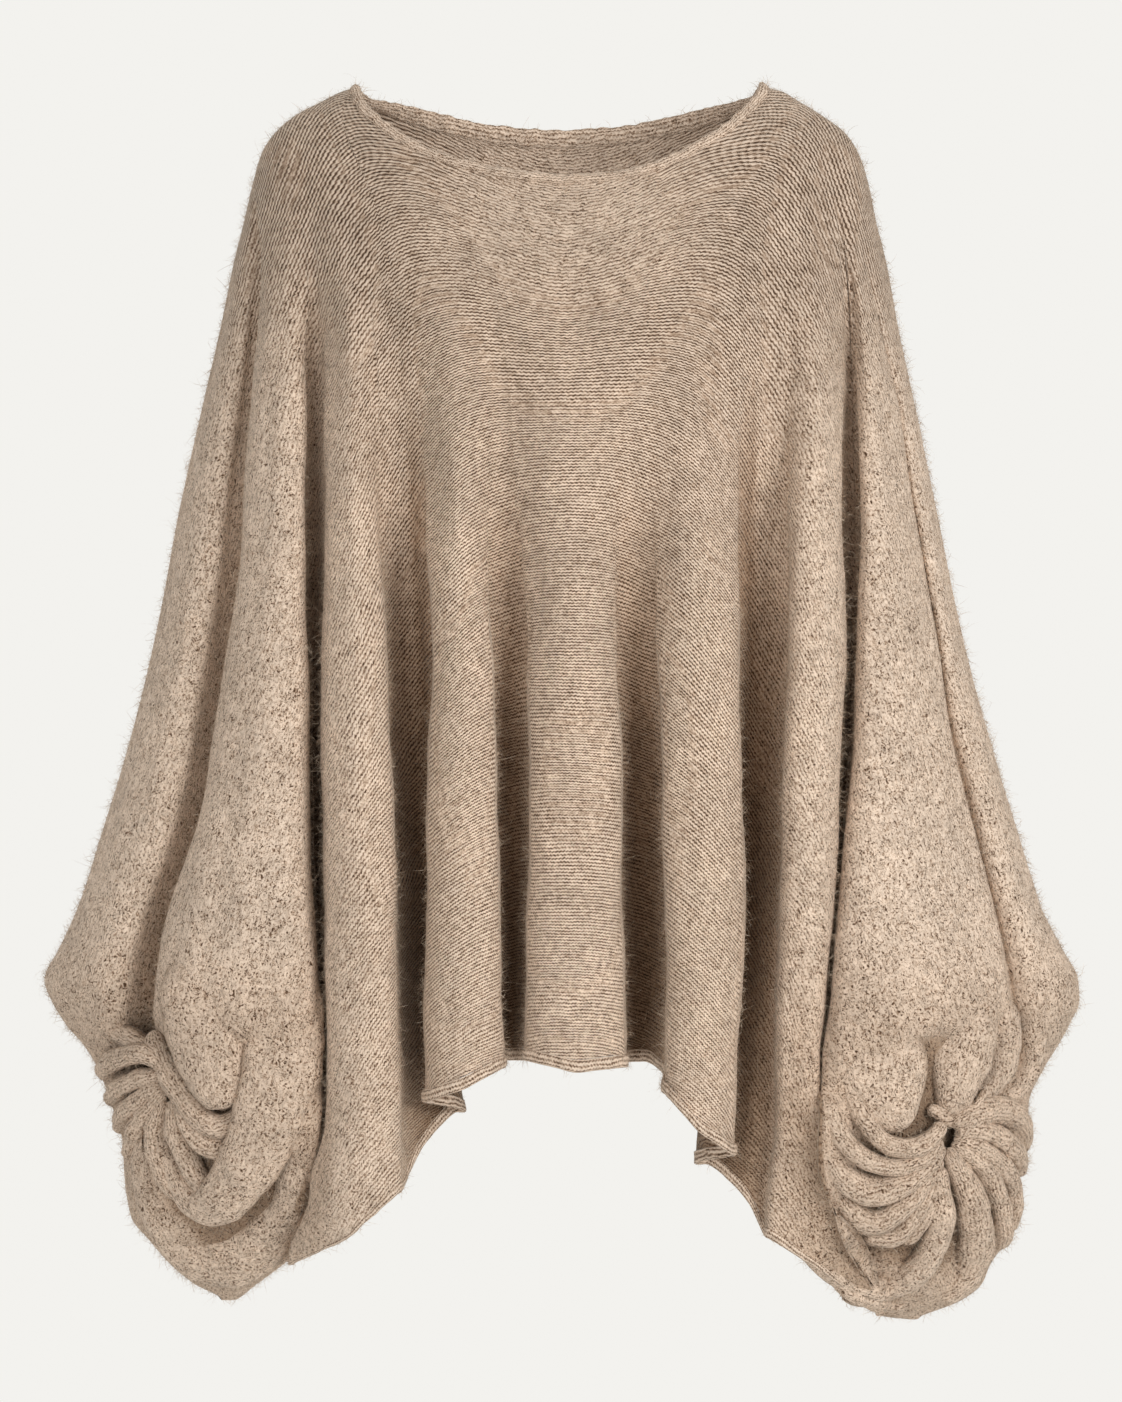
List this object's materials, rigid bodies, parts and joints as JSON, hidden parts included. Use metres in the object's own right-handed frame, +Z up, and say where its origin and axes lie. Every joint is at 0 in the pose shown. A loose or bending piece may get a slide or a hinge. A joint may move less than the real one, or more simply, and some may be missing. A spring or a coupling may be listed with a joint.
{
  "type": "oversized batwing sweater",
  "caption": "Oversized batwing sweater in soft heathered knit, worn form with no wearer: boat neck, deep hanging folds, arched hem and gathered sleeve ends.",
  "frame": {"origin": "midway between the two neck corners, on the line of the shoulders, where the wearer's shoulders carry the sweater", "axes": "+Z up, -Y towards the front of the sweater, +X towards the right of the picture, which is the wearer's left"},
  "size_m": [0.7469, 0.276, 0.9059],
  "materials": {
    "knit_body": "heathered beige and taupe brushed knit, fine cross ridges with darker gaps, fuzzy mohair-like nap, matt",
    "knit_trim": "the same yarn in a denser rolled and gathered knit, slightly darker, matt"
  },
  "bodies": {
    "root": {"front_panel": "knit_body", "back_panel": "knit_body", "neckband": "knit_trim", "hem_band_front": "knit_trim", "hem_band_back": "knit_trim", "cuff_left": "knit_trim", "cuff_right": "knit_trim"}
  },
  "joints": []
}
